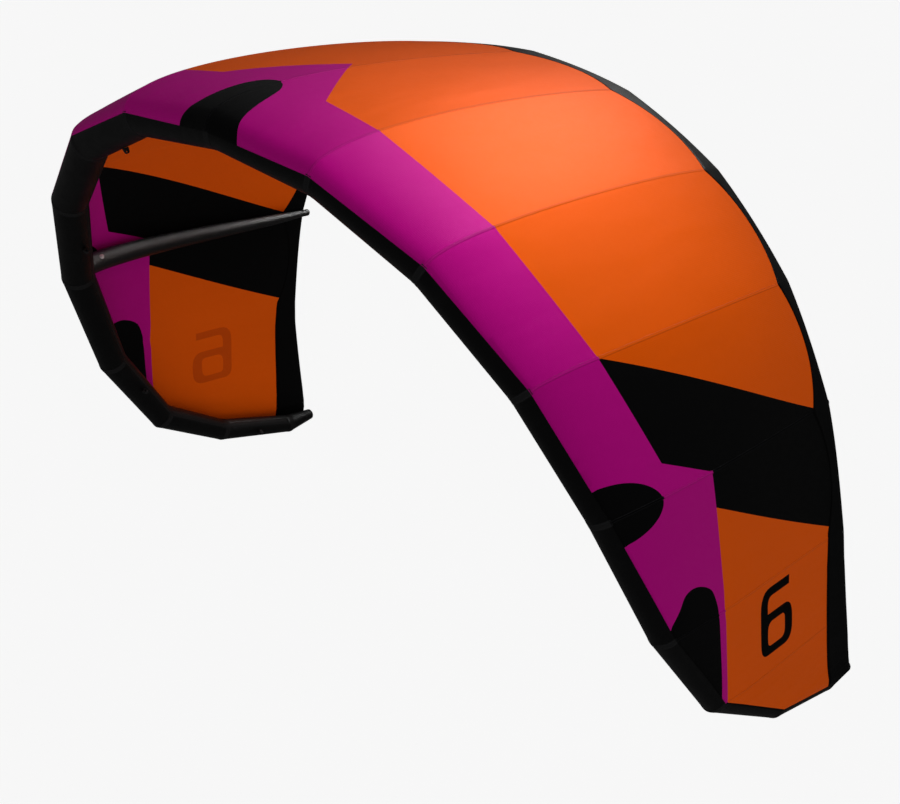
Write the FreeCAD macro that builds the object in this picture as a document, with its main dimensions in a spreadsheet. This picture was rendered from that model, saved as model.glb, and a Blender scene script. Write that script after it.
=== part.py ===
import FreeCAD, Part
import math
import os

import Sketcher

# Kitesurf kite with an inflatable leading edge and three inflatable struts, in the 6 square metre size.
#
# Frame: +X along the span to one wing tip, +Y along the chord from the leading edge back to the
# trailing edge, +Z up. The origin is the centre of the leading-edge tube on the symmetry plane.
# "right" pieces are on the +X side and "left" pieces on the -X side.
#
# The leading edge is a chain of straight conical segments, mitred where they meet. The places
# where they meet are the joints: joint 0 is on the symmetry plane and joint 9 is the end of the
# wing tip. A canopy seam runs back from each of the joints 0 to 6.

Vector = FreeCAD.Vector
doc = FreeCAD.newDocument("kitesurf_kite")

DIMENSIONS = [
    # leading edge, half of the span
    ("main_run", 420, "length of segments 1 to 4"),
    ("arm_run", 460, "length of segment 5"),
    ("shoulder_run", 380, "length of segment 6"),
    ("tip_run", 330, "length of segments 7 and 8"),
    ("end_run", 115, "length of segment 9"),
    ("roll_full", 87, "steepest fall of the arc, degrees"),
    ("roll_length", 2550, "length along the tube over which the fall builds up"),
    ("roll_power", 1.19, "how late the fall builds up"),
    ("sweep_rate", 11.35, "steady sweep, degrees per metre of tube"),
    ("sweep_jump", 45.5, "extra sweep of the wing tip, degrees"),
    ("sweep_place", 2560, "length along the tube at which the extra sweep comes in"),
    ("sweep_width", 167, "how gently the extra sweep comes in"),
    ("tip_tuck", 26.5, "segment 8 turns in by this, degrees"),
    ("end_sweep", 88, "segment 9 points back, degrees"),
    ("tube_radius", 68, "tube radius in the middle of the kite"),
    ("tube_taper", 0.527, "share of the radius lost towards the wing tip"),
    ("tube_end_radius", 21, "tube radius at the end of the wing tip"),
    ("tube_wall", 1.5, "thickness of the leading-edge cloth"),
    ("film", 0.5, "thickness of a bladder's film"),
    ("gap", 0.5, "clearance between pieces that lie against each other"),
    ("canopy_gap", 2, "clearance between the canopy and the tube"),
    ("lap", 2, "how far pieces that are joined run into each other, and cutters run past"),
    # canopy
    ("chord_middle", 1298, "trailing edge behind the origin, in the middle"),
    ("chord_gain", 90, "how much further back the trailing edge is at the wing tip"),
    ("edge_tuck", 12, "trailing edge below the tube's centre line"),
    ("skin", 2, "thickness of the canopy"),
    ("front_rise", 18.5, "angle at which the canopy leaves the tube in the middle, degrees"),
    ("front_rise_rate", 6.5, "growth of that angle, degrees per metre of tube"),
    ("front_flat_place", 1895, "length along the tube at which that angle fades out"),
    ("front_flat_width", 140, "how gently it fades out"),
    ("rear_fall", 7.8, "angle at which the canopy meets the trailing edge, degrees"),
    ("rear_fall_rate", 15, "growth of that angle, degrees per metre of tube"),
    ("rear_flat_place", 1510, "length along the tube at which that angle fades out"),
    ("rear_flat_width", 100, "how gently it fades out"),
    ("rear_fall_tip", 2, "what is left of that angle at the wing tip, degrees"),
    ("front_pull", 0.185, "reach of the front curve, as a share of the chord"),
    ("rear_pull", 0.218, "reach of the rear curve, as a share of the chord"),
    ("hem_middle", 48, "width of the trailing-edge band in the middle"),
    ("hem_gain", 52, "how much wider the band is at the wing tip"),
    # struts
    ("strut_front_radius", 38.5, "strut radius at the leading edge"),
    ("strut_rear_radius", 13, "strut radius at the trailing edge"),
    ("strut_taper_power", 1.7, "how far back the strut keeps most of its width"),
    ("strut_wall", 1.5, "thickness of the strut's cloth"),
    ("strut_gap", 2.2, "clearance between a strut and the canopy"),
    ("strut_overhang", 8, "how far a strut reaches past the trailing edge"),
    ("strut_cap_length", 11, "length of the domed cap on a strut's end"),
    ("tip_cap_length", 12, "length of the domed cap on a wing tip"),
    # inflation and deflation valves on the leading edge
    ("valve_flange_radius", 17, "radius of a main valve's flange"),
    ("valve_flange_height", 3, "height of its top above the tube"),
    ("valve_collar_radius", 13, "outer radius of the collar"),
    ("valve_collar_height", 14, "height of the collar's rim above the tube"),
    ("valve_throat_radius", 9, "radius of the throat"),
    ("valve_depth", 1.2, "how deep the valve sits in the tube's cloth"),
    ("valve_tilt", 25, "valves point this far down from straight back, degrees"),
    ("lid_radius", 14, "radius of the inflation valve's lid"),
    ("lid_height", 3, "thickness of the lid"),
    ("lid_gap", 0.4, "clearance under the lid and the plugs"),
    ("hinge_reach", 20, "lid hinge's distance from the valve's axis"),
    ("barrel_radius", 2.6, "radius of the hinge barrel"),
    ("barrel_length", 6, "length of the hinge barrel"),
    ("pin_radius", 1.2, "radius of the hinge pin"),
    ("pin_clearance", 0.1, "radial clearance of the hinge pin"),
    ("barrel_gap", 0.3, "clearance at each end of the hinge barrel"),
    ("ear_width", 2, "thickness of each hinge ear"),
    ("plug_head_radius", 13, "radius of the deflation plug's head"),
    ("plug_stem_radius", 8.6, "radius of the deflation plug's stem"),
    ("plug_stem_length", 9, "length of the deflation plug's stem"),
    ("plug_head_height", 5, "height of the deflation plug's head"),
    # strut valves
    ("port_flange_radius", 9, "radius of a strut valve's flange"),
    ("port_flange_height", 1.5, "height of its top above the strut"),
    ("port_collar_radius", 6, "outer radius of the collar"),
    ("port_collar_height", 6, "height of the collar's rim above the strut"),
    ("port_throat_radius", 3.5, "radius of the throat"),
    ("port_stem_radius", 3.2, "radius of the plug's stem"),
    ("port_stem_length", 4, "length of the plug's stem"),
    ("port_head_height", 2.4, "height of the plug's head"),
    ("port_place", 115, "strut valve's distance behind the tube's centre line"),
    # line attachments and the carrying handle
    ("tab_width", 12, "width of a line attachment tab, along the tube"),
    ("tab_reach", 20, "how far a tab stands out of the tube"),
    ("tab_foot", 18, "depth of a tab's foot against the tube"),
    ("tab_neck_radius", 7, "radius of a tab's round end"),
    ("eye_radius", 4, "radius of the eye in a tab"),
    ("handle_span", 200, "length of the carrying handle"),
    ("handle_height", 42, "how far the handle stands off the strut"),
    ("handle_width", 25, "width of the handle's webbing"),
    ("handle_thickness", 3, "thickness of the handle's webbing"),
    ("handle_foot", 35, "length of each sewn end of the handle"),
    ("handle_seat", 2, "clearance between its sewn ends and the strut"),
    ("handle_place", 330, "middle of the handle behind the origin"),
]

sheet = doc.addObject("Spreadsheet::Sheet", "dims")
for row, (alias, value, note) in enumerate(DIMENSIONS, start=1):
    sheet.set(f"A{row}", note)
    sheet.set(f"B{row}", str(value))
    sheet.setAlias(f"B{row}", alias)
doc.recompute()


def dim(alias):
    """The number in the sheet under this name."""
    return float(sheet.get(alias))


SIDES = {"right": 1, "left": -1}
RUNS = [dim("main_run")] * 4 + [dim("arm_run"), dim("shoulder_run")]
RUNS += [dim("tip_run")] * 2 + [dim("end_run")]
JOINTS = range(len(RUNS) + 1)
LAST = len(RUNS)
SEAM_JOINTS = 6
TIP_CORNER = 8
STRUT_JOINT = 4
DISTANCE = [sum(RUNS[:j]) for j in JOINTS]
HALF_SPAN = DISTANCE[-1]
RING_POINTS = 16


# ---- leading-edge line --------------------------------------------------------------------------


def segment_roll(i):
    """Fall of segment i towards the wing tip, in radians."""
    middle = DISTANCE[i] + RUNS[i] / 2
    share = min(1, (middle / dim("roll_length")) ** dim("roll_power"))
    roll = math.radians(dim("roll_full") * math.sin(math.pi / 2 * share))
    if i == LAST - 2:
        roll += math.radians(dim("tip_tuck"))
    if i == LAST - 1:
        roll = math.radians(-90)
    return roll


def segment_sweep(i):
    """Sweep of segment i towards the trailing edge, in radians."""
    middle = DISTANCE[i] + RUNS[i] / 2
    late = 1 / (1 + math.exp((dim("sweep_place") - middle) / dim("sweep_width")))
    sweep = dim("sweep_rate") * middle / 1000 + dim("sweep_jump") * late
    return math.radians(dim("end_sweep") if i == LAST - 1 else sweep)


def segment_direction(i):
    roll = segment_roll(i)
    sweep = segment_sweep(i)
    across = math.cos(sweep)
    return Vector(math.cos(roll) * across, math.sin(sweep), -math.sin(roll) * across)


def leading_edge_points():
    points = [Vector()]
    for i, run in enumerate(RUNS):
        points.append(points[-1] + segment_direction(i) * run)
    return points


DIRECTION = [segment_direction(i) for i in range(LAST)]
POINT = leading_edge_points()


def outward(j):
    """Unit vector square to the canopy at joint j, pointing out of the arc."""
    before = abs(segment_roll(max(j - 1, 0)))
    after = abs(segment_roll(min(j, LAST - 1)))
    angle = 0 if j == 0 else min((before + after) / 2, math.pi / 2)
    return Vector(math.sin(angle), 0, math.cos(angle))


OUT = [outward(j) for j in JOINTS]


def tube_radius(j):
    if j == LAST:
        return dim("tube_end_radius")
    return dim("tube_radius") * (1 - dim("tube_taper") * (DISTANCE[j] / HALF_SPAN) ** 2)


def mitre(j):
    """Unit normal of the mitre plane at joint j, the axis it is stretched along, and by how much."""
    before = DIRECTION[j - 1] if j > 0 else Vector(DIRECTION[0].x, -DIRECTION[0].y, -DIRECTION[0].z)
    after = DIRECTION[j] if j < LAST else DIRECTION[-1]
    normal = before + after
    normal.normalize()
    turn = before.cross(after)
    if turn.Length < 1e-6:
        return normal, OUT[j], 1.0
    turn.normalize()
    return normal, turn.cross(normal), 1 / math.cos(before.getAngle(after) / 2)


def flipped(point, side):
    """The same point on the right side, or mirrored to the left side."""
    return Vector(point.x * side, point.y, point.z)


def ring(j, radius, side, setback=0):
    """Closed curve of the tube in the mitre plane of joint j."""
    normal, axis, stretch = mitre(j)
    up = OUT[j] - normal * OUT[j].dot(normal)
    up.normalize()
    front = normal.cross(up)
    points = []
    for k in range(RING_POINTS):
        angle = 2 * math.pi * k / RING_POINTS
        spoke = up * math.cos(angle) + front * math.sin(angle)
        spoke = spoke + axis * (spoke.dot(axis) * (stretch - 1))
        points.append(flipped(POINT[j] + spoke * radius - normal * setback, side))
    curve = Part.BSplineCurve()
    curve.interpolate(Points=points, PeriodicFlag=True, Parameters=list(range(RING_POINTS + 1)))
    return Part.Wire(curve.toShape())


def forward(shape):
    """The shape with its solid the right way round."""
    if shape.Volume < 0:
        shape.reverse()
    return shape


def tube_piece(i, side, shrink):
    """Solid cone of segment i, smaller than the tube by shrink."""
    ends = [ring(j, tube_radius(j) - shrink, side) for j in (i, i + 1)]
    return forward(Part.makeLoft(ends, True, True))


# ---- canopy seams -------------------------------------------------------------------------------


def fade(distance, place, width):
    return 1 / (1 + math.exp((distance - place) / width))


def front_angle(j):
    rise = dim("front_rise") + dim("front_rise_rate") * DISTANCE[j] / 1000
    return math.radians(rise * fade(DISTANCE[j], dim("front_flat_place"), dim("front_flat_width")))


def rear_angle(j):
    fall = dim("rear_fall") + dim("rear_fall_rate") * DISTANCE[j] / 1000
    fall *= fade(DISTANCE[j], dim("rear_flat_place"), dim("rear_flat_width"))
    return math.radians(fall + dim("rear_fall_tip"))


def trailing_point(j):
    """Where the seam of joint j ends, on the trailing edge."""
    if j >= TIP_CORNER:
        reach = dim("tube_end_radius") + dim("canopy_gap") + dim("skin")
        return POINT[LAST] + OUT[LAST] * reach
    share = (DISTANCE[j] / HALF_SPAN) ** 2
    point = Vector(POINT[j].x, dim("chord_middle") + dim("chord_gain") * share, POINT[j].z)
    return point - OUT[j] * dim("edge_tuck")


def seam(j, depth=0):
    """Canopy section at joint j as a Bezier curve, this depth under the outer surface."""
    out = OUT[j]
    chord = trailing_point(j) - POINT[j]
    back = chord - out * chord.dot(out)
    back.normalize()
    front = front_angle(j)
    rear = rear_angle(j)
    stretch = mitre(j)[2]
    radius = tube_radius(j) * stretch + dim("canopy_gap") + dim("skin")
    front_normal = out * math.cos(front) - back * math.sin(front)
    front_run = back * math.cos(front) + out * math.sin(front)
    rear_normal = out * math.cos(rear) + back * math.sin(rear)
    rear_run = out * math.sin(rear) - back * math.cos(rear)
    start = POINT[j] + front_normal * radius
    end = trailing_point(j)
    if j >= TIP_CORNER:
        return [start + (end - start) * (k / 3) - out * depth for k in range(4)]
    length = (end - start).Length
    poles = [
        start - front_normal * depth,
        start + front_run * (dim("front_pull") * length) - front_normal * depth,
        end + rear_run * (dim("rear_pull") * length) - rear_normal * depth,
        end - rear_normal * depth,
    ]
    return poles


def bezier(poles, side, start, end):
    curve = Part.BezierCurve()
    curve.setPoles([flipped(pole, side) for pole in poles])
    curve.segment(start, end)
    return curve.toShape()


def section(j, side, start, end):
    """Closed outline of the canopy's thickness at joint j, from start to end along the seam."""
    top = bezier(seam(j), side, start, end)
    under = bezier(seam(j, dim("skin")), side, start, end)
    rear = Part.makeLine(top.valueAt(top.LastParameter), under.valueAt(under.LastParameter))
    front = Part.makeLine(under.valueAt(under.FirstParameter), top.valueAt(top.FirstParameter))
    return Part.Wire(Part.__sortEdges__([top, rear, under, front]))


def hem_start(j):
    """Place on the seam of joint j where the trailing-edge band begins, 0 to 1."""
    width = dim("hem_middle") + dim("hem_gain") * (DISTANCE[j] / HALF_SPAN) ** 2
    curve = Part.BezierCurve()
    curve.setPoles(seam(j))
    return curve.parameterAtDistance(-width, 1)


def canopy_piece(joints, side, hem):
    """Panel of the canopy between seams, or the band along its trailing edge."""
    spans = [(hem_start(j), 1) if hem else (0, hem_start(j)) for j in joints]
    wires = [section(j, side, *span) for j, span in zip(joints, spans)]
    return forward(Part.makeLoft(wires, True, True))


# ---- struts -------------------------------------------------------------------------------------


STRUT_START = 0.02
FEW_STATIONS = 9
MANY_STATIONS = 200


def strut_stations(j, count=FEW_STATIONS):
    """Centre points, directions and radii down a strut under the seam of joint j."""
    poles = seam(j, dim("skin") + dim("strut_gap"))
    curve = Part.BezierCurve()
    curve.setPoles(poles)
    stations = []
    for k in range(count):
        place = STRUT_START + (1 - STRUT_START) * k / (count - 1)
        run = curve.tangent(place)[0]
        under = OUT[j] * -1
        under = under - run * under.dot(run)
        under.normalize()
        taper = 1 - place ** dim("strut_taper_power")
        radius = dim("strut_rear_radius") + (dim("strut_front_radius") - dim("strut_rear_radius")) * taper
        stations.append((curve.value(place) + under * radius, run, radius))
    centre, run, radius = stations[-1]
    stations.append((centre + run * dim("strut_overhang"), run, radius))
    return stations


def strut_solid(j, side, shrink, shorten=0):
    """Solid strut, smaller than its outer surface by shrink and shorter at the rear by shorten."""
    stations = strut_stations(j)
    centre, run, radius = stations[-1]
    stations[-1] = (centre - run * shorten, run, radius)
    wires = []
    for centre, run, radius in stations:
        circle = Part.Circle(flipped(centre, side), flipped(run, side), radius - shrink)
        wires.append(Part.Wire(circle.toShape()))
    return forward(Part.makeLoft(wires, True, False))


def clear_of_tube(shape, j, side, clearance):
    """Cuts the front end of a strut to sit this far from the leading edge."""
    neighbours = [(j, side), (j - 1, side)] if j > 0 else [(0, 1), (0, -1)]
    for i, half in neighbours:
        shape = shape.cut(tube_piece(i, half, -clearance))
    return max(shape.Solids, key=lambda solid: solid.Volume)


def strut_frame(j, side, place, turn):
    """Point on a strut's surface and its outward direction: turn is from straight under, degrees."""
    best = min(strut_stations(j, MANY_STATIONS), key=lambda station: abs(station[0].y - place))
    centre, run, radius = best
    under = OUT[j] * -1
    under = under - run * under.dot(run)
    under.normalize()
    across = under.cross(run)
    angle = math.radians(turn)
    away = under * math.cos(angle) + across * math.sin(angle)
    return flipped(centre + away * radius, side), flipped(away, side), flipped(run, side)


# ---- document helpers ---------------------------------------------------------------------------

pieces = []


def placed(origin, away, along):
    """Placement with local Z along away and local X along along."""
    away = Vector(away)
    along = Vector(along) - away * Vector(along).dot(away)
    along.normalize()
    return FreeCAD.Placement(origin, FreeCAD.Rotation(along, away.cross(along), away, "ZXY"))


def add_shape(label, shape):
    """A sub-part whose shape is made by Part's own functions."""
    feature = doc.addObject("Part::Feature", label)
    feature.Label = label
    feature.Shape = shape
    feature.Placement = FreeCAD.Placement()
    pieces.append(feature)
    return feature


def add_piece(feature, label, placement):
    """Names a parametric object as a sub-part and puts it in its place."""
    feature.Label = label
    feature.Placement = placement
    pieces.append(feature)
    return feature


def primitive(kind, label, **sizes):
    """A Part primitive with its sizes bound to expressions."""
    feature = doc.addObject(kind, label)
    for name, expression in sizes.items():
        feature.setExpression(name, expression)
    return feature


def turned_body(label, outline):
    """A body turned about its own Z axis from corners given as radius and height expressions."""
    body = doc.addObject("PartDesign::Body", label)
    sketch = body.newObject("Sketcher::SketchObject", label + "_outline")
    plane = next(f for f in body.Origin.OriginFeatures if f.Role == "XZ_Plane")
    sketch.AttachmentSupport = [(plane, "")]
    sketch.MapMode = "FlatFace"
    corners = [[float(sheet.evalExpression(text)) for text in corner] for corner in outline]
    for i, corner in enumerate(corners):
        following = corners[(i + 1) % len(corners)]
        sketch.addGeometry(Part.LineSegment(Vector(*corner), Vector(*following)), False)
    for i in range(len(corners)):
        sketch.addConstraint(Sketcher.Constraint("Coincident", i, 2, (i + 1) % len(corners), 1))
    for i, corner in enumerate(outline):
        for kind, text, value in zip(("DistanceX", "DistanceY"), corner, corners[i]):
            number = sketch.addConstraint(Sketcher.Constraint(kind, -1, 1, i, 1, value))
            sketch.setExpression(f"Constraints[{number}]", text)
    turn = body.newObject("PartDesign::Revolution", label + "_turn")
    turn.Profile = sketch
    turn.ReferenceAxis = (sketch, ["V_Axis"])
    turn.Angle = 360
    return body


# ---- valves -------------------------------------------------------------------------------------


def collar_outline(name):
    """Corners of a valve body: throat, rim, collar, flange and the stem in the cloth."""
    return [
        (f"dims.{name}_throat_radius", "-dims.valve_depth"),
        (f"dims.{name}_throat_radius", f"dims.{name}_collar_height"),
        (f"dims.{name}_collar_radius", f"dims.{name}_collar_height"),
        (f"dims.{name}_collar_radius", f"dims.{name}_flange_height"),
        (f"dims.{name}_flange_radius", f"dims.{name}_flange_height"),
        (f"dims.{name}_flange_radius", "dims.gap"),
        (f"dims.{name}_collar_radius", "dims.gap"),
        (f"dims.{name}_collar_radius", "-dims.valve_depth"),
    ]


# A plug's head is straight up to this share of its height, and its top has this share of its radius.
HEAD_SHOULDER = 0.7
HEAD_TOP = 0.85


def plug_outline(stem, collar_height, stem_length, head_radius, head_height):
    """Corners of a plug: a stem that fills the throat and a wider head over the rim."""
    rim = f"{collar_height} + dims.lid_gap"
    return [
        ("0", f"{collar_height} - {stem_length}"),
        (stem, f"{collar_height} - {stem_length}"),
        (stem, rim),
        (head_radius, rim),
        (head_radius, f"{rim} + {head_height} * {HEAD_SHOULDER}"),
        (f"{head_radius} * {HEAD_TOP}", f"{rim} + {head_height}"),
        ("0", f"{rim} + {head_height}"),
    ]


def tube_frame(i, share, side, tilt):
    """Point on segment i at this share of its length, its outward direction and the tube's."""
    centre = POINT[i] * (1 - share) + POINT[i + 1] * share
    radius = tube_radius(i) * (1 - share) + tube_radius(i + 1) * share
    run = DIRECTION[i]
    up = (OUT[i] + OUT[i + 1]) / 2
    up = up - run * up.dot(run)
    up.normalize()
    back = up.cross(run)
    angle = math.radians(tilt)
    away = back * math.cos(angle) - up * math.sin(angle)
    return flipped(centre + away * radius, side), flipped(away, side), flipped(run, side)


def hinge_box(label, x_size, y_low, y_size, z_low, z_size):
    """Box centred on the hinge's X direction; all sizes are expressions."""
    box = primitive("Part::Box", label, Length=x_size, Width=y_size, Height=z_size)
    box.setExpression("Placement.Base.x", f"-({x_size}) / 2")
    box.setExpression("Placement.Base.y", y_low)
    box.setExpression("Placement.Base.z", z_low)
    return box


PIN_HEIGHT = "(dims.valve_collar_height + dims.lid_gap + dims.lid_height / 2)"


def hinge_rod(label, radius, length):
    """Cylinder along the hinge's axis."""
    rod = primitive("Part::Cylinder", label, Radius=radius, Height=length)
    rod.Placement.Rotation = FreeCAD.Rotation(Vector(0, 1, 0), 90)
    rod.setExpression("Placement.Base.x", f"-({length}) / 2")
    rod.setExpression("Placement.Base.y", "-dims.hinge_reach")
    rod.setExpression("Placement.Base.z", PIN_HEIGHT)
    return rod


def join(label, *shapes):
    fused = doc.addObject("Part::MultiFuse", label)
    fused.Shapes = list(shapes)
    return fused


def inflation_valve_shapes():
    """The valve body with its hinge ears and pin, and the lid that swings on the pin."""
    slot = "dims.barrel_length + 2 * dims.barrel_gap"
    fork = f"{slot} + 2 * dims.ear_width"
    ring_part = turned_body("inflation_valve_ring", collar_outline("valve"))
    bracket = hinge_box(
        "hinge_bracket", fork, "-dims.hinge_reach - dims.barrel_radius",
        "dims.hinge_reach + dims.barrel_radius - dims.valve_throat_radius - dims.lap",
        "dims.valve_flange_height", "dims.valve_collar_height - dims.valve_flange_height - dims.lap")
    ears = hinge_box(
        "hinge_ears", fork, "-dims.hinge_reach - dims.barrel_radius", "2 * dims.barrel_radius",
        "dims.valve_flange_height", f"{PIN_HEIGHT} + dims.barrel_radius - dims.valve_flange_height")
    gap = hinge_box(
        "hinge_gap", slot, "-dims.hinge_reach - dims.barrel_radius - dims.lap",
        "2 * dims.barrel_radius + 2 * dims.lap",
        "dims.valve_collar_height - dims.lap", "2 * dims.barrel_radius + 2 * dims.lap")
    forked = doc.addObject("Part::Cut", "hinge_fork")
    forked.Base = ears
    forked.Tool = gap
    pin = hinge_rod("hinge_pin", "dims.pin_radius", fork)
    body = join("inflation_valve_body", ring_part, bracket, forked, pin)

    disc = primitive("Part::Cylinder", "lid_disc", Radius="dims.lid_radius", Height="dims.lid_height")
    disc.setExpression("Placement.Base.z", "dims.valve_collar_height + dims.lid_gap")
    arm = hinge_box(
        "lid_arm", "dims.barrel_length", "-dims.hinge_reach",
        "dims.hinge_reach - dims.lid_radius + dims.lap",
        "dims.valve_collar_height + dims.lid_gap", "dims.lid_height")
    barrel = hinge_rod("lid_barrel", "dims.barrel_radius", "dims.barrel_length")
    blank = join("lid_blank", disc, arm, barrel)
    hole = hinge_rod("lid_pin_hole", "dims.pin_radius + dims.pin_clearance", "dims.barrel_length + dims.lap")
    lid = doc.addObject("Part::Cut", "inflation_valve_lid")
    lid.Base = blank
    lid.Tool = hole
    return body, lid


# The main valves sit just outside the middle of segment 1; the strut valves are turned away from
# straight under their strut, in degrees.
VALVE_SHARE = 0.55
VALVE_FRAMES = {
    "inflation": tube_frame(0, VALVE_SHARE, 1, dim("valve_tilt")),
    "deflation": tube_frame(0, VALVE_SHARE, -1, dim("valve_tilt")),
}
PORT_TURN = {"centre": 40, "right": -62, "left": -62}
PORT_FRAMES = {
    "centre": strut_frame(0, 1, dim("port_place"), PORT_TURN["centre"]),
    "right": strut_frame(STRUT_JOINT, 1, POINT[STRUT_JOINT].y + dim("port_place"), PORT_TURN["right"]),
    "left": strut_frame(STRUT_JOINT, -1, POINT[STRUT_JOINT].y + dim("port_place"), PORT_TURN["left"]),
}


def socket(frame, name):
    """Cylinder that opens the cloth for a valve's stem."""
    origin, away, _ = frame
    radius = dim(f"{name}_collar_radius") + dim("gap") / 2
    depth = 2 * dim("tube_wall")
    return Part.makeCylinder(radius, 4 * depth, origin - away * depth, away)


# ---- sub-parts: leading edge --------------------------------------------------------------------

for side_name, side in SIDES.items():
    for i in range(LAST):
        cloth = tube_piece(i, side, 0).cut(tube_piece(i, side, dim("tube_wall")))
        if i == 0:
            valve = "inflation" if side > 0 else "deflation"
            cloth = cloth.cut(socket(VALVE_FRAMES[valve], "valve"))
        add_shape(f"leading_edge_{side_name}_{i + 1}", cloth)

bladder_gap = dim("tube_wall") + dim("gap")
outer_rings = [ring(j, tube_radius(j) - bladder_gap, -1, dim("gap") * (j == LAST))
               for j in reversed(JOINTS)]
outer_rings += [ring(j, tube_radius(j) - bladder_gap, 1, dim("gap") * (j == LAST)) for j in JOINTS[1:]]
air_gap = bladder_gap + dim("film")
air_end = dim("gap") + dim("film")
inner_rings = [ring(j, tube_radius(j) - air_gap, -1, air_end * (j == LAST)) for j in reversed(JOINTS)]
inner_rings += [ring(j, tube_radius(j) - air_gap, 1, air_end * (j == LAST)) for j in JOINTS[1:]]
bladder = forward(Part.makeLoft(outer_rings, True, True))
air = forward(Part.makeLoft(inner_rings, True, True))
add_shape("leading_edge_bladder", bladder.cut(air))

for side_name, side in SIDES.items():
    cap = primitive("Part::Ellipsoid", f"tip_cap_{side_name}", Radius1="dims.tip_cap_length",
                    Radius2="dims.tube_end_radius", Radius3="dims.tube_end_radius",
                    Angle1="0", Angle2="90")
    end = flipped(POINT[LAST], side)
    back = flipped(DIRECTION[-1], side)
    add_piece(cap, f"tip_cap_{side_name}", placed(end, back, flipped(OUT[LAST], side)))

# ---- sub-parts: struts --------------------------------------------------------------------------

STRUTS = {"centre": (0, 1), "right": (STRUT_JOINT, 1), "left": (STRUT_JOINT, -1)}
for name, (j, side) in STRUTS.items():
    hull = strut_solid(j, side, 0)
    lining = strut_solid(j, side, dim("strut_wall"))
    sleeve = clear_of_tube(hull.cut(lining), j, side, dim("gap"))
    add_shape(f"strut_sleeve_{name}", sleeve.cut(socket(PORT_FRAMES[name], "port")))
    inset = dim("strut_wall") + dim("gap")
    film = clear_of_tube(strut_solid(j, side, inset), j, side, dim("gap"))
    air = clear_of_tube(strut_solid(j, side, inset + dim("film"), dim("film")), j, side,
                        dim("gap") + dim("film"))
    add_shape(f"strut_bladder_{name}", film.cut(air))
    centre, run, _ = strut_stations(j)[-1]
    cap = primitive("Part::Ellipsoid", f"strut_cap_{name}", Radius1="dims.strut_cap_length",
                    Radius2="dims.strut_rear_radius", Radius3="dims.strut_rear_radius",
                    Angle1="0", Angle2="90")
    add_piece(cap, f"strut_cap_{name}",
              placed(flipped(centre, side), flipped(run, side), flipped(OUT[j], side)))

# ---- sub-parts: canopy --------------------------------------------------------------------------

for side_name, side in SIDES.items():
    for j in range(SEAM_JOINTS):
        add_shape(f"canopy_panel_{side_name}_{j + 1}", canopy_piece((j, j + 1), side, False))
    tip_joints = (SEAM_JOINTS, SEAM_JOINTS + 1, TIP_CORNER)
    add_shape(f"canopy_tip_{side_name}", canopy_piece(tip_joints, side, False))
    add_shape(f"trailing_edge_band_{side_name}", canopy_piece(range(TIP_CORNER + 1), side, True))

# ---- sub-parts: valves --------------------------------------------------------------------------

inflation_body, inflation_lid = inflation_valve_shapes()
deflation_body = turned_body("deflation_valve_ring", collar_outline("valve"))
deflation_plug = turned_body(
    "deflation_valve_stopper",
    plug_outline("dims.plug_stem_radius", "dims.valve_collar_height", "dims.plug_stem_length",
                 "dims.plug_head_radius", "dims.plug_head_height"))
VALVE_PIECES = {
    "inflation_valve_body": (inflation_body, "inflation"),
    "inflation_valve_lid": (inflation_lid, "inflation"),
    "deflation_valve_body": (deflation_body, "deflation"),
    "deflation_valve_plug": (deflation_plug, "deflation"),
}
for label, (feature, valve) in VALVE_PIECES.items():
    add_piece(feature, label, placed(*VALVE_FRAMES[valve]))

for name, frame in PORT_FRAMES.items():
    port = turned_body(f"strut_port_{name}", collar_outline("port"))
    add_piece(port, f"strut_valve_body_{name}", placed(*frame))
    stopper = turned_body(
        f"strut_stopper_{name}",
        plug_outline("dims.port_stem_radius", "dims.port_collar_height", "dims.port_stem_length",
                     "dims.port_collar_radius", "dims.port_head_height"))
    add_piece(stopper, f"strut_valve_plug_{name}", placed(*frame))

# ---- sub-parts: line attachments and handle -----------------------------------------------------


def tab_shape(frame):
    """Tab of folded webbing on the tube, with an eye whose axis runs along the tube."""
    origin, away, run = frame
    side_way = away.cross(run)
    foot = origin + away * dim("gap")
    half_foot = dim("tab_foot") / 2
    eye = origin + away * (dim("tab_reach") - dim("tab_neck_radius"))
    base = Part.makePolygon([
        foot - side_way * half_foot,
        foot + side_way * half_foot,
        eye + side_way * dim("tab_neck_radius"),
        eye - side_way * dim("tab_neck_radius"),
        foot - side_way * half_foot,
    ])
    start = run * (-dim("tab_width") / 2)
    plate = Part.Face(base).extrude(run * dim("tab_width"))
    plate.translate(start)
    nose = Part.makeCylinder(dim("tab_neck_radius"), dim("tab_width"), eye + start, run)
    past = dim("lap")
    hole = Part.makeCylinder(dim("eye_radius"), dim("tab_width") + 2 * past, eye + start - run * past, run)
    return plate.fuse(nose).cut(hole).removeSplitter(), eye


# Segment and share of its length for each front tab, and where the tabs stand on the tube's
# circle, in degrees from straight back.
FRONT_TABS = [(1, 0.5), (3, 0.5), (5, 0.45)]
REAR_TAB = (LAST - 2, 0.5)
FRONT_TILT = 85
REAR_TILT = 105
for side_name, side in SIDES.items():
    tabs = []
    places = [(*place, FRONT_TILT) for place in FRONT_TABS] + [(*REAR_TAB, REAR_TILT)]
    for i, share, tilt in places:
        frame = tube_frame(i, share, side, tilt)
        solid, eye = tab_shape(frame)
        neighbour = tube_piece(i, side, -dim("gap"))
        solid = max(solid.cut(neighbour).Solids, key=lambda part: part.Volume)
        tabs.append(solid)
        print("eye", side_name, i + 1, [round(c / 1000, 5) for c in eye],
              [round(c, 6) for c in frame[2]])
    add_shape(f"line_tabs_{side_name}", Part.makeCompound(tabs))


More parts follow.
